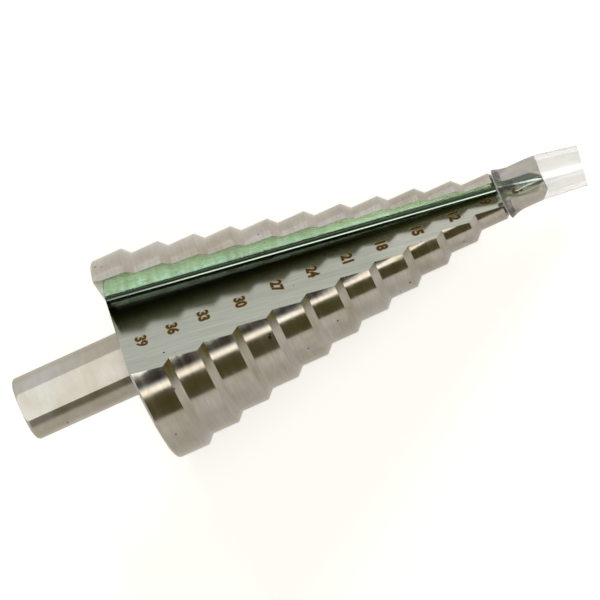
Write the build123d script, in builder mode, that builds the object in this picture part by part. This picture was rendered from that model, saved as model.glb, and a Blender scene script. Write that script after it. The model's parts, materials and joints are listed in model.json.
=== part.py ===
"""Step drill, 6 to 39 mm in twelve steps, with a soft cap over its point.

The tool is drawn along its own X axis, from the shank's end to the point, and is then laid on
the three places it touches when it lies on a bench: both edges of the lower flute at the
largest step, and the low side of the cap's end. Millimetres, +Z up, origin at the bottom centre.
"""

from build123d import *

import math
import os

os.makedirs("parts", exist_ok=True)

# Steps: each one is a land and a 45 degree chamfer down to the next.
LARGEST_DIAMETER = 39.0
SMALLEST_DIAMETER = 6.0
DIAMETER_STEP = 3.0
STEP_PITCH = 6.6
STEP_CHAMFER = DIAMETER_STEP / 2
HEAD_LAND = 6.0
HEAD_BACK_CHAMFER = 0.4
TIP_LAND = 5.5

# Point: two flat flanks that meet in a short chisel edge.
POINT_ANGLE = 118.0
POINT_RELIEF_ANGLE = 12.0

# Shank: round bar with three flats for the chuck jaws.
SHANK_DIAMETER = 12.0
SHANK_LENGTH = 22.1
SHANK_END_RADIUS = 0.8
SHANK_FLAT_COUNT = 3
SHANK_FLAT_DEPTH = 0.58
FIRST_FLAT_ANGLE = 106.0

# Flutes: V grooves, each with an undercut cutting wall, a wide face and a rounded root.
# The root runs straight, from behind the largest step to the tool's axis just short of the point.
FLUTE_COUNT = 2
FLUTE_ANGLE = 66.3
RAKE_ANGLE = 26.0
CUTTING_WALL_DEPTH = 9.6
ROOT_END_SETBACK = 1.3
ROOT_RADIUS = 0.75
BACK_FACET_LENGTH = 1.9
BACK_FACET_DEPTH = 0.45

# Cap: soft tube pushed over the smallest step, flared at its mouth and bent past the point.
# Places along it are measured from the front of the step that its mouth stops against.
CAP_BORE_RADIUS = 3.05
CAP_OUTER_RADIUS = 4.1
CAP_MOUTH = 0.2
CAP_MOUTH_BORE_RADIUS = 4.45
CAP_MOUTH_OUTER_RADIUS = 5.15
CAP_FLARE_END = 3.4
CAP_FLARE_BULGE = 0.16
CAP_MOUTH_MIDDLE = 0.97
CAP_MOUTH_TILT = 8.5
CAP_MOUTH_TILT_DIRECTION = 110.0
CAP_BARREL_END = 7.0
CAP_BEND_ANGLE = 9.0
CAP_BEND_RADIUS = 14.0
CAP_BEND_DIRECTION = 200.0
CAP_TAIL_LENGTH = 7.0
CAP_END_BORE_RADIUS = 2.85
CAP_END_OUTER_RADIUS = 3.8

REACH = 2 * LARGEST_DIAMETER

# Places along the tool's axis.
step_count = round((LARGEST_DIAMETER - SMALLEST_DIAMETER) / DIAMETER_STEP) + 1
radii = [(LARGEST_DIAMETER - DIAMETER_STEP * i) / 2 for i in range(step_count)]
head_back = SHANK_LENGTH
first_front = SHANK_LENGTH + HEAD_LAND
fronts = [first_front + STEP_PITCH * i for i in range(step_count)]
fronts[-1] = fronts[-2] + STEP_CHAMFER + TIP_LAND
point_x = fronts[-1] + radii[-1] / math.tan(math.radians(POINT_ANGLE / 2))


def across(angle, radius=1.0):
    """A vector square to the tool's axis, at an angle from +Y towards +Z."""
    return Vector(0, radius * math.cos(math.radians(angle)), radius * math.sin(math.radians(angle)))


def root_at_head(edge_angle):
    """The flute's sharp root at the largest step, inwards from the cutting edge at this angle."""
    wall = across(edge_angle + RAKE_ANGLE, CUTTING_WALL_DEPTH)
    return Vector(first_front, 0, 0) + across(edge_angle, radii[0]) - wall


# The flute's mouth at the largest step, from the cutting edge to the heel where the face ends.
sharp_root = root_at_head(0) - Vector(first_front, 0, 0)
face_out = across(RAKE_ANGLE + FLUTE_ANGLE)
root_along_face = sharp_root.dot(face_out)
face_width = math.sqrt(root_along_face**2 + radii[0] ** 2 - sharp_root.length**2) - root_along_face
heel = sharp_root + face_out * face_width
mouth_angle = math.degrees(math.atan2(heel.Z, heel.Y))

# Both edges of the mouth lie level, so the cutting edges stand this far from +Y.
edge_angle = 90 - mouth_angle / 2


def stepped_outline():
    """Half section of the blank: shank, stepped head and the cylinder that the point is cut from."""
    shank_radius = SHANK_DIAMETER / 2
    points = [(0, 0), (0, shank_radius), (head_back, shank_radius)]
    points += [(head_back, radii[0] - HEAD_BACK_CHAMFER)]
    points += [(head_back + HEAD_BACK_CHAMFER, radii[0])]
    for radius, front in zip(radii[:-1], fronts[:-1]):
        points += [(front, radius), (front + STEP_CHAMFER, radius - STEP_CHAMFER)]
    points += [(point_x, radii[-1]), (point_x, 0)]
    return points


def flank_plane(angle):
    """The flat flank behind the cutting lip that lies at this angle, facing the work."""
    slope = 1 / math.tan(math.radians(POINT_ANGLE / 2))
    relief = math.tan(math.radians(POINT_RELIEF_ANGLE))
    normal = Vector(1, 0, 0) + across(angle, slope) + across(angle - 90, relief)
    return Plane(origin=(point_x, 0, 0), x_dir=across(angle - 90) - Vector(relief, 0, 0), z_dir=normal)


def root_run(angle):
    """The way the flute's root runs, from the tool's axis near the point back to the largest step."""
    return root_at_head(angle) - Vector(point_x - ROOT_END_SETBACK, 0, 0)


def root_point(angle, x):
    """The sharp root of the flute whose cutting edge lies at this angle, at a place along the tool."""
    run = root_run(angle)
    return root_at_head(angle) + run * ((x - first_front) / run.X)


def flute_plane(angle):
    """Square to the tool's axis, clear of the point, with X out along the cutting wall."""
    return Plane(origin=root_point(angle, point_x + 1.5), x_dir=across(angle + RAKE_ANGLE), z_dir=(-1, 0, 0))


def outer_wall_point(angle, x):
    """Where the cutting wall reaches the largest step's radius, at a place along the tool."""
    root = root_point(angle, x)
    out = across(angle + RAKE_ANGLE)
    from_axis = Vector(0, root.Y, root.Z).length
    along_wall = root.dot(out)
    return root + out * (math.sqrt(along_wall**2 + radii[0] ** 2 - from_axis**2) - along_wall)


def back_facet(angle):
    """The ground facet at the wall's back corner: its plane, and the corners of a triangle over it."""
    wall_start = ROOT_RADIUS / math.tan(math.radians(FLUTE_ANGLE / 2))
    inner = root_point(angle, head_back) + across(angle + RAKE_ANGLE, wall_start)
    front = outer_wall_point(angle, head_back + BACK_FACET_LENGTH)
    back = outer_wall_point(angle, head_back) + across(angle + RAKE_ANGLE - 90, BACK_FACET_DEPTH)
    plane = Plane(origin=inner, x_dir=front - inner, z_dir=(front - inner).cross(back - inner))
    return plane, [plane.to_local_coords(inner + (corner - inner) * 1.5) for corner in (front, back)]


with BuildPart() as drill_body:
    with BuildSketch(Plane.XY) as blank:
        with BuildLine():
            Polyline(*stepped_outline(), close=True)
        make_face()
        shank_corner = blank.vertices().sort_by_distance((0, SHANK_DIAMETER / 2))[0]
        fillet(shank_corner, SHANK_END_RADIUS)
    revolve(axis=Axis.X)

    for i in range(FLUTE_COUNT):
        lip_angle = edge_angle + RAKE_ANGLE + i * 360 / FLUTE_COUNT
        split(bisect_by=flank_plane(lip_angle), keep=Keep.BOTTOM)

    for i in range(FLUTE_COUNT):
        flute_angle = edge_angle + i * 360 / FLUTE_COUNT
        with BuildSketch(flute_plane(flute_angle)) as flute:
            with BuildLine():
                swing = math.radians(-FLUTE_ANGLE)
                Polyline((REACH, 0), (0, 0), (REACH * math.cos(swing), REACH * math.sin(swing)), close=True)
            make_face()
            root_corner = flute.vertices().sort_by_distance(flute.workplanes[0].origin)[0]
            fillet(root_corner, ROOT_RADIUS)
        extrude(amount=point_x - head_back + 12, dir=root_run(flute_angle), mode=Mode.SUBTRACT)

        facet_plane, facet_corners = back_facet(flute_angle)
        with BuildSketch(facet_plane):
            with BuildLine():
                Polyline((0, 0), *facet_corners, close=True)
            make_face()
        extrude(amount=2, mode=Mode.SUBTRACT)

    for i in range(SHANK_FLAT_COUNT):
        outward = across(FIRST_FLAT_ANGLE + i * 360 / SHANK_FLAT_COUNT)
        seat = outward * (SHANK_DIAMETER / 2 - SHANK_FLAT_DEPTH) + Vector(head_back / 2, 0, 0)
        with BuildSketch(Plane(origin=seat, x_dir=(1, 0, 0), z_dir=outward)):
            Rectangle(head_back, SHANK_DIAMETER)
        extrude(amount=SHANK_FLAT_DEPTH + 1, mode=Mode.SUBTRACT)

# The cap's bend and tail lie in the plane of the tool's axis and the bend direction.
cap_start = fronts[-2]
barrel_end = cap_start + CAP_BARREL_END
bend = math.radians(CAP_BEND_ANGLE)
bend_side = across(CAP_BEND_DIRECTION)
tail_direction = Vector(math.cos(bend), 0, 0) + bend_side * math.sin(bend)
tail_start = Vector(barrel_end + CAP_BEND_RADIUS * math.sin(bend), 0, 0)
tail_start += bend_side * CAP_BEND_RADIUS * (1 - math.cos(bend))
tail_end = tail_start + tail_direction * CAP_TAIL_LENGTH
bend_pivot = Vector(barrel_end, 0, 0) + bend_side * CAP_BEND_RADIUS
bend_axis = Axis(origin=bend_pivot, direction=across(CAP_BEND_DIRECTION + 90))

cap_forms = (
    (CAP_OUTER_RADIUS, CAP_MOUTH_OUTER_RADIUS, CAP_END_OUTER_RADIUS, Mode.ADD),
    (CAP_BORE_RADIUS, CAP_MOUTH_BORE_RADIUS, CAP_END_BORE_RADIUS, Mode.SUBTRACT),
)

with BuildPart() as tip_cap:
    # The outside first, then the bore: a trumpet mouth and barrel, the bend, and the tapered tail.
    for barrel_radius, mouth_radius, end_radius, mode in cap_forms:
        mouth = (cap_start + CAP_MOUTH, mouth_radius)
        flare_end = (cap_start + CAP_FLARE_END, barrel_radius)
        flare_middle = (Vector(*mouth) + Vector(*flare_end)) / 2 - Vector(0, CAP_FLARE_BULGE)
        with BuildSketch(Plane.XY):
            with BuildLine():
                ThreePointArc(mouth, flare_middle, flare_end)
                Polyline(flare_end, (barrel_end, barrel_radius), (barrel_end, 0), (mouth[0], 0), mouth)
            make_face()
        revolve(axis=Axis.X, mode=mode)

        with BuildSketch(Plane(origin=(barrel_end, 0, 0), z_dir=(1, 0, 0))):
            Circle(barrel_radius)
        revolve(axis=bend_axis, revolution_arc=CAP_BEND_ANGLE, mode=mode)

        with BuildSketch(Plane(origin=tail_start, z_dir=tail_direction)):
            Circle(barrel_radius)
        with BuildSketch(Plane(origin=tail_end, z_dir=tail_direction)):
            Circle(end_radius)
        loft(mode=mode)

    # The mouth is pushed on a little askew, so its rim leans towards the shank on one side.
    rim_normal = Vector(1, 0, 0) + across(CAP_MOUTH_TILT_DIRECTION, math.tan(math.radians(CAP_MOUTH_TILT)))
    rim_plane = Plane(origin=(cap_start + CAP_MOUTH_MIDDLE, 0, 0), z_dir=rim_normal)
    split(bisect_by=rim_plane, keep=Keep.TOP)

# The tool lies on both edges of its lower flute at the largest step and on the cap's free end.
flute_edge_drop = radii[0] * math.cos(math.radians(mouth_angle / 2))
rim_fall = tail_direction * tail_direction.Z - Vector(0, 0, 1)
cap_low = tail_end + rim_fall.normalized() * CAP_END_OUTER_RADIUS
lean = math.degrees(math.atan2(flute_edge_drop + cap_low.Z, cap_low.X - first_front))

leaning = Rot(0, lean, 0)
box = Compound(children=[leaning * drill_body.part, leaning * tip_cap.part]).bounding_box()
lying = Pos(-box.center().X, -box.center().Y, -box.min.Z) * leaning
drill_body.part = lying * drill_body.part
tip_cap.part = lying * tip_cap.part

drill_body.part.label = "drill_body"
export_step(drill_body.part, "parts/drill_body.step")

tip_cap.part.label = "tip_cap"
export_step(tip_cap.part, "parts/tip_cap.step")
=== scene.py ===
import json
import math

import bpy
from mathutils import Matrix, Vector


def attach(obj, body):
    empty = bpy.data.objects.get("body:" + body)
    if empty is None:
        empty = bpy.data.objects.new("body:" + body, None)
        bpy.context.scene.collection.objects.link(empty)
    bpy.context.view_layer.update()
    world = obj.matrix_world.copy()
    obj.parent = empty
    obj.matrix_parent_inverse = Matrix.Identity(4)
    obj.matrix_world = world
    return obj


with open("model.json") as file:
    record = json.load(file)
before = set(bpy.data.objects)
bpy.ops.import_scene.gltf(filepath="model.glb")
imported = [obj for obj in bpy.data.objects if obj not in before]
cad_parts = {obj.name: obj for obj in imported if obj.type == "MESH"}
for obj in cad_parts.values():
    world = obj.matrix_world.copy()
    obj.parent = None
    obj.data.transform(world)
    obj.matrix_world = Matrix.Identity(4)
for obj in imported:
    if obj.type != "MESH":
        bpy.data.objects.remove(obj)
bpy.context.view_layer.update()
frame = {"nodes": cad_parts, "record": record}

# The tool's own frame, in millimetres: X runs from the shank's end to the point, Y lies level.
# Angles round the tool are in degrees, from its Y towards its Z.
MM = 0.001
mounts = {mount["name"]: mount for mount in frame["record"]["mounts"]}
shank_end = Vector(mounts["shank_end"]["pos_m"])
tool_x = -Vector(mounts["shank_end"]["axis"]).normalized()
tool_y = Vector((0, 1, 0))
tool_z = tool_x.cross(tool_y)

# Head and flutes, as in the solid: places along the tool, sizes and angles.
HEAD_BACK = 22.1
FIRST_FRONT = 28.1
LARGEST_RADIUS = 19.5
STEP_PITCH = 6.6
STEP_HEIGHT = 1.5
STEP_COUNT = 12
POINT = 102.9
EDGE_ANGLE = 60.48
RAKE_ANGLE = 26.0
FLUTE_ANGLE = 66.3
CUTTING_WALL_DEPTH = 9.6
CUTTING_WALL_DEPTH_AT_ROOT_END = 1.2
ROOT_END = 101.6

# Cap, as in the solid: places along the tool, and radii midway through its wall.
CAP_START = 94.1
CAP_FLARE = 3.4
CAP_MIDDLE_RADIUS = 3.58
CAP_MOUTH_MIDDLE_RADIUS = 4.8

# Camera: looks down on the tool from the side that the sizes are etched on.
CAMERA_AZIMUTH = 29.30
CAMERA_ELEVATION = 66.46
CAMERA_ROLL = 54.70
CAMERA_DISTANCE = 581.5 * MM
CAMERA_LENS = 195.1
AIM = Vector((-0.09, -4.55, 18.0)) * MM
# The side of the tool that faces the camera, as an angle round the tool.
CAMERA_ANGLE = 110.41

# Floor: its side in metres, and how much it glows where it is seen straight and in the steel.
FLOOR_SIZE = 6.0
FLOOR_GLOW = 0.6
FLOOR_GLOW_IN_STEEL = 0.25

# Soft boxes: angles round the tool from the camera's side, X parts of the direction along it,
# distance in metres, radiance, colour, and whether the steel shows it.
LAMPS = {
    "front_softbox": ((-39.9, -33.9), (-0.7, 0.7), 0.6, 1.4, "#FFF2DA", True),
    "top_softbox": ((-7, 30), (-0.7, 0.7), 0.9, 0.5, "#FBFFF4", True),
    "flute_softbox": ((-16.5, -7), (-0.12, 0.2), 0.9, 7.0, "#FBFFF4", True),
    "point_softbox": ((-20, 10), (0.078, 0.2), 0.9, 3.6, "#FFFFFF", True),
    "point_fill": ((-53, -46.5), (-0.02, 0.1), 1.1, 0.8, "#FFFFFF", True),
    "key": ((70, 96), (-0.2, 0.2), 1.2, 9.0, "#FFFFFF", False)}
# Dark cards that the steel shows: angles, X parts, distance and colour, measured in the same way.
FLAGS = {
    "low_front_flag": ((-81, -41), (-0.55, 0.5), 1.2, "#5C5533"),
    "high_front_flag": ((-31, -17), (-0.55, 0.5), 1.3, "#241805")}
# A small card that stands across the row beyond the cap: its X, its Y from and to, and its height.
END_FLAG_X, END_FLAG_Y, END_FLAG_HEIGHT = 0.075, (-0.09, 0.03), 0.07
END_FLAG_COLOUR = "#6E6730"

# Steel colours. The cutting wall has three: by its root, midway and at its top, each at a part of
# its height. These are lighter than the steel: a painted highlight over the oil's green cast.
STEEL = "#BCB9B3"
OILY_STEEL = "#B0A99B"
FLUTE_STEEL = "#B8B8AC"
# Flute steel under the painted shade by the root, tinted green with it.
FLUTE_STEEL_IN_PAINTED_SHADE = "#A8B8A8"
WALL_AT_ROOT, WALL_MIDDLE, WALL_AT_TOP = (0.1, "#DDF0EC"), (0.45, "#D9E4DA"), (0.95, "#CFD3BA")
FILM_OLIVE = "#BBC3AE"
PIT_BROWN = "#4A4132"

# Ground surfaces: depth under the outline that counts as flute, and the grinding lines' size.
FLUTE_SUNK = 0.06
GRIND_PITCH = 0.3
GRIND_DEPTH = 0.003
GRIND_DEPTH_IN_FLUTE = 0.35  # part of the full depth
ROUGHNESS_OF_SHANK, ROUGHNESS_OF_LANDS = 0.34, 0.17
ROUGHNESS_BY_ROOT, ROUGHNESS_OF_FACE = 0.06, 0.14
ROUGHNESS_OF_BURNISH = 0.15

# Hollow grind: how much further round the flutes' surfaces face than their planes.
HOLLOW_ANGLE = 5.3
HOLLOW_ANGLE_AT_POINT = 7.2

# The burnished line in the root: its width on the face, the way it faces, and its brightness.
BURNISH_WIDTH = 0.3
BURNISH_ANGLE = 116.4
BURNISH_SHADE = 0.32

# Painted shade in the flutes: they are darkened by the root, standing in for the dark reflections
# there. Each edge is where a change starts and ends, in millimetres from the root. A shade is the
# part of its colour that the steel keeps under the painted shade.
PAINTED_SHADE_FADES = (68, 88)  # places along the tool
DEEP_PAINTED_SHADE, FAINT_PAINTED_SHADE = 0.06, 0.5
FACE_FIRST_EDGE, FACE_FIRST_SHADE, FACE_SECOND_SHADE = (0.38, 0.46), 0.05, 0.25
FACE_SECOND_EDGE = (2.1, 2.6)
FACE_SHADE_LIFTS_FROM, FACE_SHADE_LIFTS_TO, FACE_SHADE_LIFT = 0.35, 1.1, 0.8  # parts of the wall's height
WALL_LIGHTER_BY_ROOT_EDGE, WALL_LIGHTER_BY_ROOT_SHADE = (0.3, 0.4), 0.6
WALL_UNSHADED_EDGE = (1.0, 1.1)
WALL_PAINTED_SHADE_EXTRA = 0.04

# Larger nicks and pits: place in the tool's frame and width.
MARKS = [
    (23.2, 14.4, 13.1, 0.5), (24.4, 13.6, 14.0, 0.35), (29.05, -6.72, 15.33, 0.4),
    (47.0, -10.6, 10.6, 0.6), (47.3, -10.2, 11.0, 0.4), (73.4, -8.8, 1.7, 0.45),
    (21.5, -17.9, 7.8, 0.4), (24.6, -18.4, 6.4, 0.35)]

# Sizes etched beside the steps on the upper flute's face: the size, its place along the tool, and
# its distance from the root.
SIZES = [
    (39, 25.84, 13.10), (36, 31.70, 12.10), (33, 37.56, 11.13), (30, 44.48, 10.24),
    (27, 51.50, 8.74), (24, 58.30, 7.75), (21, 64.89, 7.06), (18, 71.38, 5.86),
    (15, 78.26, 4.67), (12, 85.37, 3.58), (9, 91.61, 2.37), (6, 97.45, 1.53)]
DIGIT_HEIGHT = 1.95
DIGIT_PART_OF_FONT_SIZE = 0.72
# The two oxides: how far the strokes spread, how far they stand proud, and the two tones.
BROWN_OXIDE = (0.1, 0.010, ("#2E1C08", "#7A541C"))
GOLDEN_OXIDE = (0.21, 0.005, ("#9A7F45", "#BDAE83"))


def linear(hex_colour):
    """Linear RGBA from an sRGB hex colour."""
    channels = [int(hex_colour[i:i + 2], 16) / 255 for i in (1, 3, 5)]
    return [c / 12.92 if c <= 0.04045 else ((c + 0.055) / 1.055) ** 2.4 for c in channels] + [1.0]


def add_node(tree, kind, inputs=None, **settings):
    """Adds a node. Settings are its own properties; inputs are values or other nodes' outputs."""
    node = tree.nodes.new(kind)
    for name, value in settings.items():
        setattr(node, name, value)
    for socket, value in (inputs or {}).items():
        if isinstance(value, bpy.types.NodeSocket):
            tree.links.new(value, node.inputs[socket])
        else:
            node.inputs[socket].default_value = value
    return node


def new_material(name):
    """An empty node material, and its node tree."""
    material = bpy.data.materials.new(name)
    material.use_nodes = True
    material.node_tree.nodes.clear()
    return material, material.node_tree


def across(angle):
    """A unit vector of the tool's frame, square to its axis."""
    return Vector((0, math.cos(math.radians(angle)), math.sin(math.radians(angle))))


# The upper flute, in the tool's frame. The lower one is the same, turned by half a turn.
wall_out = across(EDGE_ANGLE + RAKE_ANGLE)
face_out = across(EDGE_ANGLE + RAKE_ANGLE + FLUTE_ANGLE)
root_at_head = across(EDGE_ANGLE) * LARGEST_RADIUS - wall_out * CUTTING_WALL_DEPTH
root_at_head.x = FIRST_FRONT
root_run = (root_at_head - Vector((ROOT_END, 0, 0))).normalized()
face_normal = root_run.cross(face_out).normalized()
wall_normal = wall_out.cross(root_run).normalized()


def from_tool(point):
    """A point of the tool's frame, in millimetres, as a point of the row's frame, in metres."""
    return shank_end + (tool_x * point[0] + tool_y * point[1] + tool_z * point[2]) * MM


# ---- camera, floor and light -------------------------------------------------------------------


def looking(azimuth, elevation):
    """The direction from the object to something seen at this azimuth and elevation."""
    a, e = math.radians(azimuth), math.radians(elevation)
    return Vector((math.sin(a) * math.cos(e), -math.cos(a) * math.cos(e), math.sin(e)))


def make_camera():
    """A long lens that looks down on the tool, rolled so that the point is up at the right."""
    camera = bpy.data.objects.new("camera", bpy.data.cameras.new("camera"))
    bpy.context.scene.collection.objects.link(camera)
    back = looking(CAMERA_AZIMUTH, CAMERA_ELEVATION)
    level = (-back).to_track_quat("-Z", "Y").to_matrix()
    roll = Matrix.Rotation(math.radians(-CAMERA_ROLL), 3, "Z")
    camera.matrix_world = Matrix.Translation(AIM + back * CAMERA_DISTANCE) @ (level @ roll).to_4x4()
    camera.data.sensor_width = 36.0
    camera.data.lens = CAMERA_LENS
    camera.data.clip_start = 0.01
    camera.data.clip_end = 50.0
    bpy.context.scene.camera = camera


def seen_straight(tree):
    """Two factors: 1 where a surface is seen by the camera or through something clear, and 1
    where it is seen in a reflection."""
    path = add_node(tree, "ShaderNodeLightPath")
    straight = add_node(tree, "ShaderNodeMath", {
        0: path.outputs["Is Camera Ray"], 1: path.outputs["Is Transmission Ray"]},
        operation="MAXIMUM").outputs[0]
    return straight, path.outputs["Is Glossy Ray"]


def make_floor():
    """A plain pale floor that keeps the tool's shadow."""
    bpy.ops.mesh.primitive_plane_add(size=FLOOR_SIZE)
    floor = bpy.context.object
    floor.name = "floor"
    material, tree = new_material("pale_floor")
    straight, mirrored = seen_straight(tree)
    glow_in_steel = add_node(tree, "ShaderNodeMath", {
        0: mirrored, 1: FLOOR_GLOW_IN_STEEL}, operation="MULTIPLY").outputs[0]
    glow = add_node(tree, "ShaderNodeMix", {
        "Factor": straight, 2: glow_in_steel, 3: FLOOR_GLOW}).outputs[0]
    paper = add_node(tree, "ShaderNodeBsdfDiffuse", {"Color": linear("#E8E2DC")})
    white = add_node(tree, "ShaderNodeEmission", {"Color": linear("#FFFFFF"), "Strength": glow})
    lit_paper = add_node(tree, "ShaderNodeAddShader", {0: paper.outputs[0], 1: white.outputs[0]})
    add_node(tree, "ShaderNodeOutputMaterial", {"Surface": lit_paper.outputs[0]})
    material.cycles.emission_sampling = "NONE"
    floor.data.materials.append(material)


def make_world():
    """A dim room for soft fill, and plain white where it is seen straight or in the steel."""
    world = bpy.data.worlds.new("studio")
    bpy.context.scene.world = world
    world.use_nodes = True
    tree = world.node_tree
    tree.nodes.clear()
    straight, mirrored = seen_straight(tree)
    shown = add_node(tree, "ShaderNodeMath", {
        0: straight, 1: mirrored}, operation="MAXIMUM").outputs[0]
    room = add_node(tree, "ShaderNodeBackground", {"Color": linear("#7C7A72"), "Strength": 1.0})
    white = add_node(tree, "ShaderNodeBackground", {"Color": linear("#FFFFFF"), "Strength": 1.0})
    seen = add_node(tree, "ShaderNodeMixShader", {
        0: shown, 1: room.outputs[0], 2: white.outputs[0]})
    add_node(tree, "ShaderNodeOutputWorld", {"Surface": seen.outputs[0]})


def round_tool(angle, along):
    """A direction: its angle round the tool from the camera's side towards +Y, and its X part."""
    a = math.radians(CAMERA_ANGLE - angle)
    out = math.sqrt(1 - along * along)
    side, up = math.cos(a) * out, math.sin(a) * out
    return (tool_x * along + tool_y * side + tool_z * up).normalized()


def facing_frame(direction, distance):
    """Stands square to this direction from the tool's middle, its local X along the tool."""
    z = direction
    x = (tool_x - z * tool_x.dot(z)).normalized()
    y = z.cross(x)
    turn = Matrix((x, y, z)).transposed().to_4x4()
    return Matrix.Translation(AIM + direction * distance) @ turn


def make_lamp(name, angles, reach, distance, radiance, colour, in_steel):
    """A soft box between two angles round the tool and two X parts of the direction."""
    light = bpy.data.lights.new(name, "AREA")
    light.shape = "RECTANGLE"
    light.size = (reach[1] - reach[0]) * distance
    light.size_y = 2 * math.tan(math.radians(abs(angles[1] - angles[0]) / 2)) * distance
    light.energy = math.pi * light.size * light.size_y * radiance
    light.color = linear(colour)[:3]
    lamp = bpy.data.objects.new(name, light)
    bpy.context.scene.collection.objects.link(lamp)
    direction = round_tool(sum(angles) / 2, sum(reach) / 2)
    lamp.matrix_world = facing_frame(direction, distance)
    lamp.visible_glossy = in_steel
    lamp.visible_transmission = in_steel


def card(name, corners, colour):
    """A dark card that only the steel shows."""
    mesh = bpy.data.meshes.new(name)
    mesh.from_pydata(corners, [], [(0, 1, 2, 3)])
    flag = bpy.data.objects.new(name, mesh)
    bpy.context.scene.collection.objects.link(flag)
    material, tree = new_material(name)
    cloth = add_node(tree, "ShaderNodeEmission", {"Color": linear(colour), "Strength": 1.0})
    add_node(tree, "ShaderNodeOutputMaterial", {"Surface": cloth.outputs[0]})
    material.cycles.emission_sampling = "NONE"
    mesh.materials.append(material)
    flag.visible_camera = False
    flag.visible_diffuse = False
    flag.visible_transmission = False
    flag.visible_volume_scatter = False
    flag.visible_shadow = False


def make_flag(name, angles, reach, distance, colour):
    """A dark card between two angles round the tool and two X parts of the direction."""
    low, high = angles
    back, front = reach
    corners = ((low, back), (low, front), (high, front), (high, back))
    card(name, [round_tool(angle, along) * distance + AIM for angle, along in corners], colour)


def make_lights():
    """Soft boxes for the lands, the flute and the point, and the dark cards between them."""
    for name, settings in LAMPS.items():
        make_lamp(name, *settings)
    for name, settings in FLAGS.items():
        make_flag(name, *settings)
    near, far = END_FLAG_Y
    card("end_flag", [(END_FLAG_X, near, 0), (END_FLAG_X, far, 0),
                      (END_FLAG_X, far, END_FLAG_HEIGHT), (END_FLAG_X, near, END_FLAG_HEIGHT)],
         END_FLAG_COLOUR)


# ---- materials ---------------------------------------------------------------------------------


def tool_place(tree):
    """In the tool's frame: the place, the normal, the place's X, its distance from the axis and
    the unit vector out from the axis to it."""
    turn = Matrix((tool_x, tool_y, tool_z))
    coordinates = add_node(tree, "ShaderNodeTexCoord")
    place = add_node(tree, "ShaderNodeMapping", {
        "Vector": coordinates.outputs["Object"],
        "Location": -(turn @ shank_end) / MM,
        "Rotation": turn.to_euler(),
        "Scale": (1 / MM, 1 / MM, 1 / MM)}, vector_type="POINT").outputs[0]
    normal = add_node(tree, "ShaderNodeMapping", {
        "Vector": coordinates.outputs["Normal"],
        "Rotation": turn.to_euler()}, vector_type="VECTOR").outputs[0]
    along = add_node(tree, "ShaderNodeSeparateXYZ", {0: place}).outputs["X"]
    spoke = add_node(tree, "ShaderNodeVectorMath", {
        0: place, 1: (0, 1, 1)}, operation="MULTIPLY").outputs[0]
    radius = add_node(tree, "ShaderNodeVectorMath", {0: spoke}, operation="LENGTH").outputs["Value"]
    out = add_node(tree, "ShaderNodeVectorMath", {0: spoke}, operation="NORMALIZE").outputs[0]
    return place, normal, along, radius, out


def to_world(tree, direction):
    """A direction of the tool's frame as one of the world, which is what a shader takes."""
    back = Matrix((tool_x, tool_y, tool_z)).transposed()
    direction = add_node(tree, "ShaderNodeMapping", {
        "Vector": direction, "Rotation": back.to_euler()}, vector_type="VECTOR").outputs[0]
    return add_node(tree, "ShaderNodeVectorTransform", {
        0: direction}, vector_type="VECTOR", convert_from="OBJECT", convert_to="WORLD").outputs[0]


def fold_flutes(tree, place, normal):
    """Turns the lower flute onto the upper one, so that one set of planes serves both.

    Gives the side, the turn, and the place and the normal once turned.
    """
    height = add_node(tree, "ShaderNodeSeparateXYZ", {0: place}).outputs["Z"]
    side = add_node(tree, "ShaderNodeMath", {0: height}, operation="SIGN").outputs[0]
    turn = add_node(tree, "ShaderNodeCombineXYZ", {"X": 1.0, "Y": side, "Z": side}).outputs[0]
    flute_place = add_node(tree, "ShaderNodeVectorMath", {
        0: place, 1: turn}, operation="MULTIPLY").outputs[0]
    flute_normal = add_node(tree, "ShaderNodeVectorMath", {
        0: normal, 1: turn}, operation="MULTIPLY").outputs[0]
    return side, turn, flute_place, flute_normal


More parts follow.
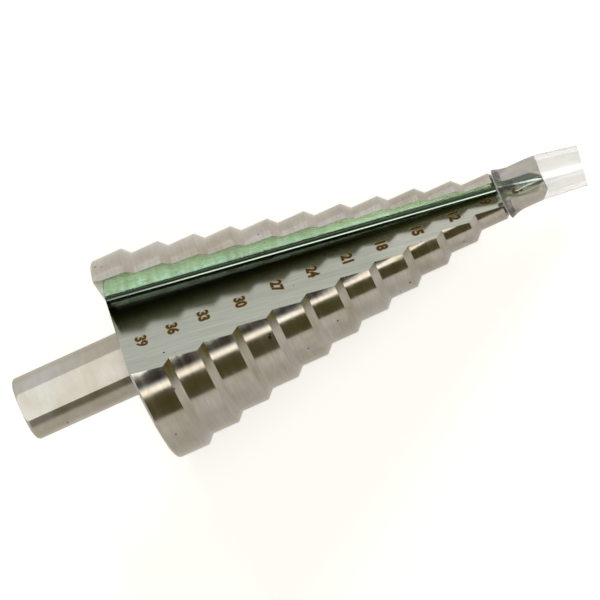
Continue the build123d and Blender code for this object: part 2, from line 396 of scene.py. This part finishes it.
def flute_masks(tree, along, radius, normal, flute_normal):
    """1 in the flutes, and 1 on their cutting walls.

    How deep a point lies under the stepped outline tells the flutes from the lands.
    """
    from_front = add_node(tree, "ShaderNodeMath", {
        0: along, 1: FIRST_FRONT}, operation="SUBTRACT").outputs[0]
    step = add_node(tree, "ShaderNodeMath", {
        0: from_front, 1: STEP_PITCH}, operation="DIVIDE").outputs[0]
    step = add_node(tree, "ShaderNodeMath", {0: step}, operation="FLOOR").outputs[0]
    step = add_node(tree, "ShaderNodeClamp", {
        "Value": step, "Min": 0.0, "Max": STEP_COUNT - 2}).outputs[0]
    past_front = add_node(tree, "ShaderNodeMath", {
        0: step, 1: -STEP_PITCH, 2: from_front}, operation="MULTIPLY_ADD").outputs[0]
    chamfer = add_node(tree, "ShaderNodeClamp", {
        "Value": past_front, "Min": 0.0, "Max": STEP_HEIGHT}).outputs[0]
    outline = add_node(tree, "ShaderNodeMath", {
        0: step, 1: -STEP_HEIGHT, 2: LARGEST_RADIUS}, operation="MULTIPLY_ADD").outputs[0]
    outline = add_node(tree, "ShaderNodeMath", {
        0: outline, 1: chamfer}, operation="SUBTRACT").outputs[0]
    depth = add_node(tree, "ShaderNodeMath", {
        0: outline, 1: radius}, operation="SUBTRACT").outputs[0]
    sunk = add_node(tree, "ShaderNodeMath", {
        0: depth, 1: FLUTE_SUNK}, operation="GREATER_THAN").outputs[0]

    # The shank and the surfaces that face along the tool lie deep too, but are no part of a flute.
    on_head = add_node(tree, "ShaderNodeMath", {
        0: along, 1: HEAD_BACK + 0.05}, operation="GREATER_THAN").outputs[0]
    end_on = add_node(tree, "ShaderNodeSeparateXYZ", {0: normal}).outputs["X"]
    end_on = add_node(tree, "ShaderNodeMath", {0: end_on}, operation="ABSOLUTE").outputs[0]
    sideways = add_node(tree, "ShaderNodeMath", {
        0: end_on, 1: 0.5}, operation="LESS_THAN").outputs[0]
    flute = add_node(tree, "ShaderNodeMath", {0: sunk, 1: on_head}, operation="MULTIPLY").outputs[0]
    flute = add_node(tree, "ShaderNodeMath", {
        0: flute, 1: sideways}, operation="MULTIPLY").outputs[0]

    facing_wall = add_node(tree, "ShaderNodeVectorMath", {
        0: flute_normal, 1: wall_normal}, operation="DOT_PRODUCT").outputs["Value"]
    facing_wall = add_node(tree, "ShaderNodeMath", {
        0: facing_wall, 1: 0.9}, operation="GREATER_THAN").outputs[0]
    wall = add_node(tree, "ShaderNodeMath", {
        0: facing_wall, 1: flute}, operation="MULTIPLY").outputs[0]
    return flute, wall


def heights_in_flute(tree, along, flute_place):
    """Distance from the root's line, in millimetres and as a part of the wall's height there."""
    from_root = add_node(tree, "ShaderNodeVectorMath", {
        0: flute_place, 1: root_at_head}, operation="SUBTRACT").outputs[0]
    from_root = add_node(tree, "ShaderNodeVectorMath", {
        0: from_root, 1: root_run}, operation="CROSS_PRODUCT").outputs[0]
    from_root = add_node(tree, "ShaderNodeVectorMath", {
        0: from_root}, operation="LENGTH").outputs["Value"]
    wall_height = add_node(tree, "ShaderNodeMapRange", {
        "Value": along, "From Min": FIRST_FRONT, "From Max": ROOT_END,
        "To Min": CUTTING_WALL_DEPTH, "To Max": CUTTING_WALL_DEPTH_AT_ROOT_END},
        clamp=False).outputs[0]
    up_flute = add_node(tree, "ShaderNodeMath", {
        0: from_root, 1: wall_height}, operation="DIVIDE").outputs[0]
    return from_root, up_flute


def ground_facing(tree, along, flute, burnished, turn):
    """The way the ground steel faces, before its grinding lines.

    The flutes are hollow ground, so their surfaces face a little further round than their planes.
    The burnished line faces up out of the root.
    """
    true_normal = add_node(tree, "ShaderNodeNewGeometry").outputs["Normal"]
    hollowness = add_node(tree, "ShaderNodeMapRange", {
        "Value": along, "From Min": HEAD_BACK, "From Max": ROOT_END,
        "To Min": math.radians(HOLLOW_ANGLE),
        "To Max": math.radians(HOLLOW_ANGLE_AT_POINT)}).outputs[0]
    hollow = add_node(tree, "ShaderNodeVectorRotate", {
        "Vector": true_normal, "Center": (0, 0, 0), "Axis": tool_x,
        "Angle": hollowness}, rotation_type="AXIS_ANGLE").outputs[0]
    facing = add_node(tree, "ShaderNodeMix", {
        "Factor": flute, 4: true_normal, 5: hollow}, data_type="VECTOR").outputs[1]
    line_facing = add_node(tree, "ShaderNodeVectorMath", {
        0: across(BURNISH_ANGLE), 1: turn}, operation="MULTIPLY").outputs[0]
    line_facing = to_world(tree, line_facing)
    return add_node(tree, "ShaderNodeMix", {
        "Factor": burnished, 4: facing, 5: line_facing}, data_type="VECTOR").outputs[1]


def grinding_lines(tree, along, radius, out, from_root, side, flute, head):
    """Fine lines and broader bands, both as noise from 0 to 1.

    They run round the tool, in rings on the head's back, and lengthwise in the flutes. The lines
    are about 0.05 mm apart in truth, and drawn GRIND_PITCH apart so that they show.
    """
    wheel = add_node(tree, "ShaderNodeMath", {0: radius, 1: head}, operation="MULTIPLY").outputs[0]
    wheel = add_node(tree, "ShaderNodeMath", {0: along, 1: wheel}, operation="SUBTRACT").outputs[0]
    wheel = add_node(tree, "ShaderNodeMath", {
        0: wheel, 1: 1 / GRIND_PITCH}, operation="MULTIPLY").outputs[0]
    sector = add_node(tree, "ShaderNodeVectorMath", {
        0: out, 1: (0, 3.0, 3.0)}, operation="MULTIPLY").outputs[0]
    round_grain = add_node(tree, "ShaderNodeCombineXYZ", {"X": wheel}).outputs[0]
    round_grain = add_node(tree, "ShaderNodeVectorMath", {
        0: round_grain, 1: sector}, operation="ADD").outputs[0]
    rows = add_node(tree, "ShaderNodeMath", {
        0: from_root, 1: 1 / GRIND_PITCH}, operation="MULTIPLY").outputs[0]
    down = add_node(tree, "ShaderNodeMath", {0: along, 1: 0.12}, operation="MULTIPLY").outputs[0]
    flute_grain = add_node(tree, "ShaderNodeCombineXYZ", {
        "X": rows, "Y": down, "Z": side}).outputs[0]
    grain = add_node(tree, "ShaderNodeMix", {
        "Factor": flute, 4: round_grain, 5: flute_grain}, data_type="VECTOR").outputs[1]
    lines = add_node(tree, "ShaderNodeTexNoise", {
        "Vector": grain, "Scale": 1.0, "Detail": 2.0, "Roughness": 0.65}).outputs["Fac"]
    broad = add_node(tree, "ShaderNodeVectorMath", {
        0: grain, "Scale": 0.22}, operation="SCALE").outputs[0]
    bands = add_node(tree, "ShaderNodeTexNoise", {
        "Vector": broad, "Scale": 1.0, "Detail": 1.0}).outputs["Fac"]
    # The shank is ground finer than the head.
    quiet = add_node(tree, "ShaderNodeMapRange", {
        "Value": head, "To Min": 0.3, "To Max": 1.0}).outputs[0]
    lines = add_node(tree, "ShaderNodeMix", {"Factor": quiet, 2: 0.5, 3: lines}).outputs[0]
    return lines, bands


def pits_and_nicks(tree, place):
    """1 in small pits and specks of grinding dust, and in the larger nicks."""
    specks = add_node(tree, "ShaderNodeTexVoronoi", {
        "Vector": place, "Scale": 0.42, "Randomness": 1.0})
    pit = add_node(tree, "ShaderNodeMapRange", {
        "Value": specks.outputs["Distance"], "From Min": 0.05, "From Max": 0.11,
        "To Min": 1.0, "To Max": 0.0}).outputs[0]
    # Only about a quarter of the cells hold a speck.
    lot = add_node(tree, "ShaderNodeSeparateColor", {0: specks.outputs["Color"]}).outputs[0]
    lot = add_node(tree, "ShaderNodeMath", {0: lot, 1: 0.72}, operation="GREATER_THAN").outputs[0]
    pit = add_node(tree, "ShaderNodeMath", {0: pit, 1: lot}, operation="MULTIPLY").outputs[0]
    for x, y, z, width in MARKS:
        away = add_node(tree, "ShaderNodeVectorMath", {
            0: place, 1: (x, y, z)}, operation="DISTANCE").outputs["Value"]
        mark = add_node(tree, "ShaderNodeMapRange", {
            "Value": away, "From Min": width * 0.35, "From Max": width * 0.65,
            "To Min": 1.0, "To Max": 0.0}).outputs[0]
        pit = add_node(tree, "ShaderNodeMath", {0: pit, 1: mark}, operation="MAXIMUM").outputs[0]
    return pit


def sludge_in_flutes(tree, along, from_root, up_flute):
    """Painted shade on the face and the wall by the root: how much of their colour is kept.

    The face and the wall mirror each other, so each band of painted shade shows twice. The bands
    leave a thin black line on the wall beside the root, and a dark face that clears towards its
    edge.
    """
    fades_from, no_more = PAINTED_SHADE_FADES
    shade_along = add_node(tree, "ShaderNodeMapRange", {
        "Value": along, "From Min": fades_from, "From Max": no_more,
        "To Min": DEEP_PAINTED_SHADE, "To Max": FAINT_PAINTED_SHADE}).outputs[0]

    beside_root = add_node(tree, "ShaderNodeMapRange", {
        "Value": from_root, "From Min": FACE_FIRST_EDGE[0], "From Max": FACE_FIRST_EDGE[1],
        "To Min": FACE_FIRST_SHADE, "To Max": FACE_SECOND_SHADE},
        interpolation_type="SMOOTHSTEP").outputs[0]
    root_shade = add_node(tree, "ShaderNodeMapRange", {
        "Value": from_root, "From Min": FACE_SECOND_EDGE[0], "From Max": FACE_SECOND_EDGE[1],
        "To Min": beside_root, "To Max": shade_along}, interpolation_type="SMOOTHSTEP").outputs[0]
    face_shade_factor = add_node(tree, "ShaderNodeMapRange", {
        "Value": up_flute, "From Min": FACE_SHADE_LIFTS_FROM, "From Max": FACE_SHADE_LIFTS_TO,
        "To Min": 0.0, "To Max": FACE_SHADE_LIFT}, interpolation_type="SMOOTHSTEP").outputs[0]
    face_shade_factor = add_node(tree, "ShaderNodeMath", {
        0: root_shade, 1: face_shade_factor}, operation="ADD").outputs[0]
    face_shade_factor = add_node(tree, "ShaderNodeMath", {
        0: face_shade_factor, 1: 1.0}, operation="MINIMUM").outputs[0]

    wall_shade_along = add_node(tree, "ShaderNodeMath", {
        0: shade_along, 1: WALL_PAINTED_SHADE_EXTRA}, operation="ADD").outputs[0]
    wall_shade_factor = add_node(tree, "ShaderNodeMapRange", {
        "Value": from_root, "From Min": WALL_UNSHADED_EDGE[0], "From Max": WALL_UNSHADED_EDGE[1],
        "To Min": wall_shade_along, "To Max": 1.0}, interpolation_type="SMOOTHSTEP").outputs[0]
    lighter_by_root = add_node(tree, "ShaderNodeMapRange", {
        "Value": from_root, "From Min": WALL_LIGHTER_BY_ROOT_EDGE[0], "From Max": WALL_LIGHTER_BY_ROOT_EDGE[1],
        "To Min": WALL_LIGHTER_BY_ROOT_SHADE, "To Max": 0.0}).outputs[0]
    wall_shade_factor = add_node(tree, "ShaderNodeMath", {
        0: wall_shade_factor, 1: lighter_by_root}, operation="MAXIMUM").outputs[0]
    return face_shade_factor, wall_shade_factor


def highlight_stretch(tree, normal, out, flute_normal, turn, flute):
    """The direction that highlights stretch in: square to the grinding lines."""
    # A little of the outward direction keeps the line defined on surfaces that face along the tool.
    spoke = add_node(tree, "ShaderNodeVectorMath", {
        0: out, "Scale": 0.05}, operation="SCALE").outputs[0]
    spoke = add_node(tree, "ShaderNodeVectorMath", {
        0: spoke, 1: normal}, operation="ADD").outputs[0]
    round_line = add_node(tree, "ShaderNodeVectorMath", {
        0: (1, 0, 0), 1: spoke}, operation="CROSS_PRODUCT").outputs[0]
    round_stretch = add_node(tree, "ShaderNodeVectorMath", {
        0: normal, 1: round_line}, operation="CROSS_PRODUCT").outputs[0]
    across_flute = add_node(tree, "ShaderNodeVectorMath", {
        0: flute_normal, 1: root_run}, operation="CROSS_PRODUCT").outputs[0]
    flute_stretch = add_node(tree, "ShaderNodeVectorMath", {
        0: across_flute, 1: turn}, operation="MULTIPLY").outputs[0]
    stretch = add_node(tree, "ShaderNodeMix", {
        "Factor": flute, 4: round_stretch, 5: flute_stretch}, data_type="VECTOR").outputs[1]
    return to_world(tree, stretch)


def steel_tints(tree, place, up_flute, flute, wall, face_shade_factor):
    """Warm grey lands under a patchy oil film, plain flutes, greener under their painted shade, and
    an oily green cutting wall, lighter than the steel through a painted highlight.
    """
    film = add_node(tree, "ShaderNodeTexNoise", {
        "Vector": place, "Scale": 0.11, "Detail": 3.0, "Roughness": 0.6,
        "Distortion": 0.4}).outputs["Fac"]
    film = add_node(tree, "ShaderNodeMapRange", {
        "Value": film, "From Min": 0.38, "From Max": 0.66}).outputs[0]
    skin = add_node(tree, "ShaderNodeMix", {
        "Factor": film, 6: linear(STEEL), 7: linear(OILY_STEEL)}, data_type="RGBA").outputs[2]
    # The face turns greener where it lies under the painted shade by the root.
    face_colour = add_node(tree, "ShaderNodeMix", {
        "Factor": face_shade_factor, 6: linear(FLUTE_STEEL_IN_PAINTED_SHADE), 7: linear(FLUTE_STEEL)},
        data_type="RGBA").outputs[2]

    # The wall's tints carry a painted highlight over the oil's green cast, lightest by the root.
    wall_tint = add_node(tree, "ShaderNodeValToRGB", {0: up_flute})
    ramp = wall_tint.color_ramp.elements
    for element, (position, tint) in zip(ramp, (WALL_AT_ROOT, WALL_AT_TOP)):
        element.position, element.color = position, linear(tint)
    position, tint = WALL_MIDDLE
    ramp.new(position).color = linear(tint)
    mottle = add_node(tree, "ShaderNodeTexNoise", {
        "Vector": place, "Scale": 0.8, "Detail": 4.0, "Roughness": 0.7,
        "Distortion": 0.6}).outputs["Fac"]
    thin_film = add_node(tree, "ShaderNodeMapRange", {
        "Value": mottle, "From Min": 0.42, "From Max": 0.62, "To Max": 0.75}).outputs[0]
    wall_colour = add_node(tree, "ShaderNodeMix", {
        "Factor": thin_film, 6: wall_tint.outputs[0], 7: linear(FILM_OLIVE)},
        data_type="RGBA").outputs[2]

    colour = add_node(tree, "ShaderNodeMix", {
        "Factor": flute, 6: skin, 7: face_colour}, data_type="RGBA").outputs[2]
    return add_node(tree, "ShaderNodeMix", {
        "Factor": wall, 6: colour, 7: wall_colour}, data_type="RGBA").outputs[2]


def shaded_by_grinding(tree, lines, bands, shade_factor):
    """How bright the steel is: the lines and bands lighten and darken it, and painted shade in the
    flutes darkens it.
    """
    shade = add_node(tree, "ShaderNodeMapRange", {
        "Value": lines, "From Min": 0.3, "From Max": 0.7,
        "To Min": 0.91, "To Max": 1.07}).outputs[0]
    band_shade = add_node(tree, "ShaderNodeMapRange", {
        "Value": bands, "From Min": 0.3, "From Max": 0.7,
        "To Min": 0.95, "To Max": 1.05}).outputs[0]
    shade = add_node(tree, "ShaderNodeMath", {
        0: shade, 1: band_shade}, operation="MULTIPLY").outputs[0]
    return add_node(tree, "ShaderNodeMath", {0: shade, 1: shade_factor}, operation="MULTIPLY").outputs[0]


def ground_roughness(tree, bands, up_flute, head, flute, burnished):
    """The flutes are ground finest, above all by the root, and the shank least."""
    land_roughness = add_node(tree, "ShaderNodeMapRange", {
        "Value": head, "To Min": ROUGHNESS_OF_SHANK, "To Max": ROUGHNESS_OF_LANDS}).outputs[0]
    worn = add_node(tree, "ShaderNodeMapRange", {
        "Value": bands, "From Min": 0.3, "From Max": 0.7,
        "To Min": -0.02, "To Max": 0.05}).outputs[0]
    land_roughness = add_node(tree, "ShaderNodeMath", {
        0: land_roughness, 1: worn}, operation="ADD").outputs[0]
    flute_roughness = add_node(tree, "ShaderNodeMapRange", {
        "Value": up_flute, "From Min": 0.5, "From Max": 0.9,
        "To Min": ROUGHNESS_BY_ROOT, "To Max": ROUGHNESS_OF_FACE}).outputs[0]
    roughness = add_node(tree, "ShaderNodeMix", {
        "Factor": flute, 2: land_roughness, 3: flute_roughness}).outputs[0]
    return add_node(tree, "ShaderNodeMix", {
        "Factor": burnished, 2: roughness, 3: ROUGHNESS_OF_BURNISH}).outputs[0]


def ground_high_speed_steel():
    """High-speed steel, ground all over: bare grey metal whose fine grinding lines stretch each
    highlight. Oil left in the flutes gives the cutting wall its green cast, and a painted highlight
    makes the wall lighter than the steel. Painted shade darkens the flutes by the root.
    """
    material, tree = new_material("ground_high_speed_steel")
    place, normal, along, radius, out = tool_place(tree)
    side, turn, flute_place, flute_normal = fold_flutes(tree, place, normal)
    flute, wall = flute_masks(tree, along, radius, normal, flute_normal)
    from_root, up_flute = heights_in_flute(tree, along, flute_place)
    head = add_node(tree, "ShaderNodeMath", {
        0: along, 1: HEAD_BACK - 0.5}, operation="GREATER_THAN").outputs[0]

    # The wheel's edge burnishes a bright line on the face, in the bottom of the root.
    face = add_node(tree, "ShaderNodeMath", {0: flute, 1: wall}, operation="SUBTRACT").outputs[0]
    burnished = add_node(tree, "ShaderNodeMath", {
        0: from_root, 1: BURNISH_WIDTH}, operation="LESS_THAN").outputs[0]
    burnished = add_node(tree, "ShaderNodeMath", {
        0: burnished, 1: face}, operation="MULTIPLY").outputs[0]

    lines, bands = grinding_lines(tree, along, radius, out, from_root, side, flute, head)
    pit = pits_and_nicks(tree, place)
    # Painted shade darkens the flutes by the root; the burnished line keeps its own tone.
    face_shade_factor, wall_shade_factor = sludge_in_flutes(tree, along, from_root, up_flute)
    shade_factor = add_node(tree, "ShaderNodeMix", {
        "Factor": wall, 2: face_shade_factor, 3: wall_shade_factor}).outputs[0]
    shade_factor = add_node(tree, "ShaderNodeMix", {
        "Factor": burnished, 2: shade_factor, 3: BURNISH_SHADE}).outputs[0]
    shade_factor = add_node(tree, "ShaderNodeMix", {"Factor": flute, 2: 1.0, 3: shade_factor}).outputs[0]

    colour = steel_tints(tree, place, up_flute, flute, wall, face_shade_factor)
    colour = add_node(tree, "ShaderNodeVectorMath", {
        0: colour, "Scale": shaded_by_grinding(tree, lines, bands, shade_factor)},
        operation="SCALE").outputs[0]
    colour = add_node(tree, "ShaderNodeMix", {
        "Factor": pit, 6: colour, 7: linear(PIT_BROWN)}, data_type="RGBA").outputs[2]

    relief = add_node(tree, "ShaderNodeMath", {0: lines, 1: pit}, operation="SUBTRACT").outputs[0]
    grind_depth = add_node(tree, "ShaderNodeMapRange", {
        "Value": flute, "To Min": 1.0, "To Max": GRIND_DEPTH_IN_FLUTE}).outputs[0]
    relief = add_node(tree, "ShaderNodeMath", {
        0: relief, 1: grind_depth}, operation="MULTIPLY").outputs[0]
    facing = ground_facing(tree, along, flute, burnished, turn)
    facing = add_node(tree, "ShaderNodeBump", {
        "Height": relief, "Strength": 1.0, "Distance": GRIND_DEPTH * MM,
        "Normal": facing}).outputs[0]
    shader = add_node(tree, "ShaderNodeBsdfPrincipled", {
        "Base Color": colour, "Metallic": 1.0, "Anisotropic": 0.75,
        "Roughness": ground_roughness(tree, bands, up_flute, head, flute, burnished),
        "Normal": facing,
        "Tangent": highlight_stretch(tree, normal, out, flute_normal, turn, flute)})
    add_node(tree, "ShaderNodeOutputMaterial", {"Surface": shader.outputs[0]})
    return material


def clear_vinyl():
    """Soft clear PVC, extruded: glassy and colourless, so it bends what lies behind it."""
    material, tree = new_material("clear_vinyl")
    place, _, along, radius, _ = tool_place(tree)
    # The stretched mouth is whitened, most at its rim, and the tube has faint draw lines along it.
    stretched = add_node(tree, "ShaderNodeMapRange", {
        "Value": along, "From Min": CAP_START + 0.2, "From Max": CAP_START + 0.7,
        "To Min": 0.5, "To Max": 0.08}).outputs[0]
    flare = add_node(tree, "ShaderNodeMapRange", {
        "Value": along, "From Min": CAP_START + CAP_FLARE - 1,
        "From Max": CAP_START + CAP_FLARE + 1, "To Min": 0.0, "To Max": 0.04}).outputs[0]
    stretched = add_node(tree, "ShaderNodeMath", {
        0: stretched, 1: flare}, operation="SUBTRACT").outputs[0]
    draw = add_node(tree, "ShaderNodeVectorMath", {
        0: place, 1: (0.03, 1.6, 1.6)}, operation="MULTIPLY").outputs[0]
    draw = add_node(tree, "ShaderNodeTexNoise", {
        "Vector": draw, "Scale": 1.0, "Detail": 2.0}).outputs["Fac"]
    tint = add_node(tree, "ShaderNodeMix", {
        "Factor": draw, 6: linear("#E2E3E3"), 7: linear("#EFEFEE")}, data_type="RGBA").outputs[2]
    ripple = add_node(tree, "ShaderNodeBump", {
        "Height": draw, "Strength": 1.0, "Distance": 0.02 * MM}).outputs[0]
    clearness = add_node(tree, "ShaderNodeMath", {
        0: 1.0, 1: stretched}, operation="SUBTRACT").outputs[0]
    vinyl = add_node(tree, "ShaderNodeBsdfPrincipled", {
        "Base Color": tint, "Roughness": 0.1, "IOR": 1.5, "Transmission Weight": clearness,
        "Normal": ripple})
    clear = add_node(tree, "ShaderNodeBsdfTransparent")
    # The bore wets the steel, so no light is bent between the two.
    middle = add_node(tree, "ShaderNodeMapRange", {
        "Value": along, "From Min": CAP_START, "From Max": CAP_START + CAP_FLARE,
        "To Min": CAP_MOUTH_MIDDLE_RADIUS, "To Max": CAP_MIDDLE_RADIUS}).outputs[0]
    inside = add_node(tree, "ShaderNodeMath", {
        0: radius, 1: middle}, operation="LESS_THAN").outputs[0]
    covered = add_node(tree, "ShaderNodeMath", {
        0: along, 1: POINT}, operation="LESS_THAN").outputs[0]
    wetted = add_node(tree, "ShaderNodeMath", {
        0: inside, 1: covered}, operation="MULTIPLY").outputs[0]
    path = add_node(tree, "ShaderNodeLightPath")
    through = add_node(tree, "ShaderNodeMath", {
        0: wetted, 1: path.outputs["Is Shadow Ray"]}, operation="MAXIMUM").outputs[0]
    seen = add_node(tree, "ShaderNodeMixShader", {
        0: through, 1: vinyl.outputs[0], 2: clear.outputs[0]})
    add_node(tree, "ShaderNodeOutputMaterial", {"Surface": seen.outputs[0]})
    return material


def etched_oxide(name, tones):
    """Laser etching: a thin oxide skin on the steel, golden where the beam was weak and brown
    where it was strong, which lets the figures read against the bare metal."""
    material, tree = new_material(name)
    coordinates = add_node(tree, "ShaderNodeTexCoord")
    burn = add_node(tree, "ShaderNodeTexNoise", {
        "Vector": coordinates.outputs["Object"], "Scale": 2.6, "Detail": 3.0,
        "Roughness": 0.7}).outputs["Fac"]
    burn = add_node(tree, "ShaderNodeMapRange", {
        "Value": burn, "From Min": 0.35, "From Max": 0.65}).outputs[0]
    colour = add_node(tree, "ShaderNodeMix", {
        "Factor": burn, 6: linear(tones[0]), 7: linear(tones[1])}, data_type="RGBA").outputs[2]
    grit = add_node(tree, "ShaderNodeBump", {
        "Height": burn, "Strength": 0.4, "Distance": 0.004}).outputs[0]
    shader = add_node(tree, "ShaderNodeBsdfPrincipled", {
        "Base Color": colour, "Metallic": 0.6, "Roughness": 0.45, "Normal": grit})
    add_node(tree, "ShaderNodeOutputMaterial", {"Surface": shader.outputs[0]})
    return material


# ---- etched sizes ------------------------------------------------------------------------------


def etch_sizes():
    """Each size is a brown figure over a wider golden one, with its top towards the point."""
    up = (Vector((1, 0, 0)) - face_normal * face_normal.x).normalized()
    right = up.cross(face_normal)
    turn = Matrix((tool_x, tool_y, tool_z)).transposed()
    turn = turn @ Matrix((right, up, face_normal)).transposed()
    layers = []
    for prefix, finish, (spread, proud, tones) in (
            ("etched_", "etched_brown_oxide", BROWN_OXIDE),
            ("etched_halo_", "etched_golden_oxide", GOLDEN_OXIDE)):
        layers.append((prefix, spread, proud, etched_oxide(finish, tones)))
    for size, along, distance in SIZES:
        root = root_at_head + root_run * ((along - root_at_head.x) / root_run.x)
        for prefix, spread, proud, oxide in layers:
            text = bpy.data.curves.new(prefix + str(size), "FONT")
            text.body = str(size)
            text.align_x = "CENTER"
            text.align_y = "CENTER"
            text.size = DIGIT_HEIGHT / DIGIT_PART_OF_FONT_SIZE
            text.offset = spread
            text.resolution_u = 4
            text.materials.append(oxide)
            figure = bpy.data.objects.new(prefix + str(size), text)
            bpy.context.scene.collection.objects.link(figure)
            place = from_tool(root + face_out * distance + face_normal * proud)
            figure.matrix_world = Matrix.Translation(place) @ turn.to_4x4() @ Matrix.Scale(MM, 4)
            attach(figure, "drill")


bpy.context.scene.view_settings.view_transform = "Standard"
make_camera()
make_floor()
make_world()
make_lights()
finishes = {"drill_body": ground_high_speed_steel(), "tip_cap": clear_vinyl()}
for name, material in finishes.items():
    frame["nodes"][name].material_slots[0].material = material
etch_sizes()
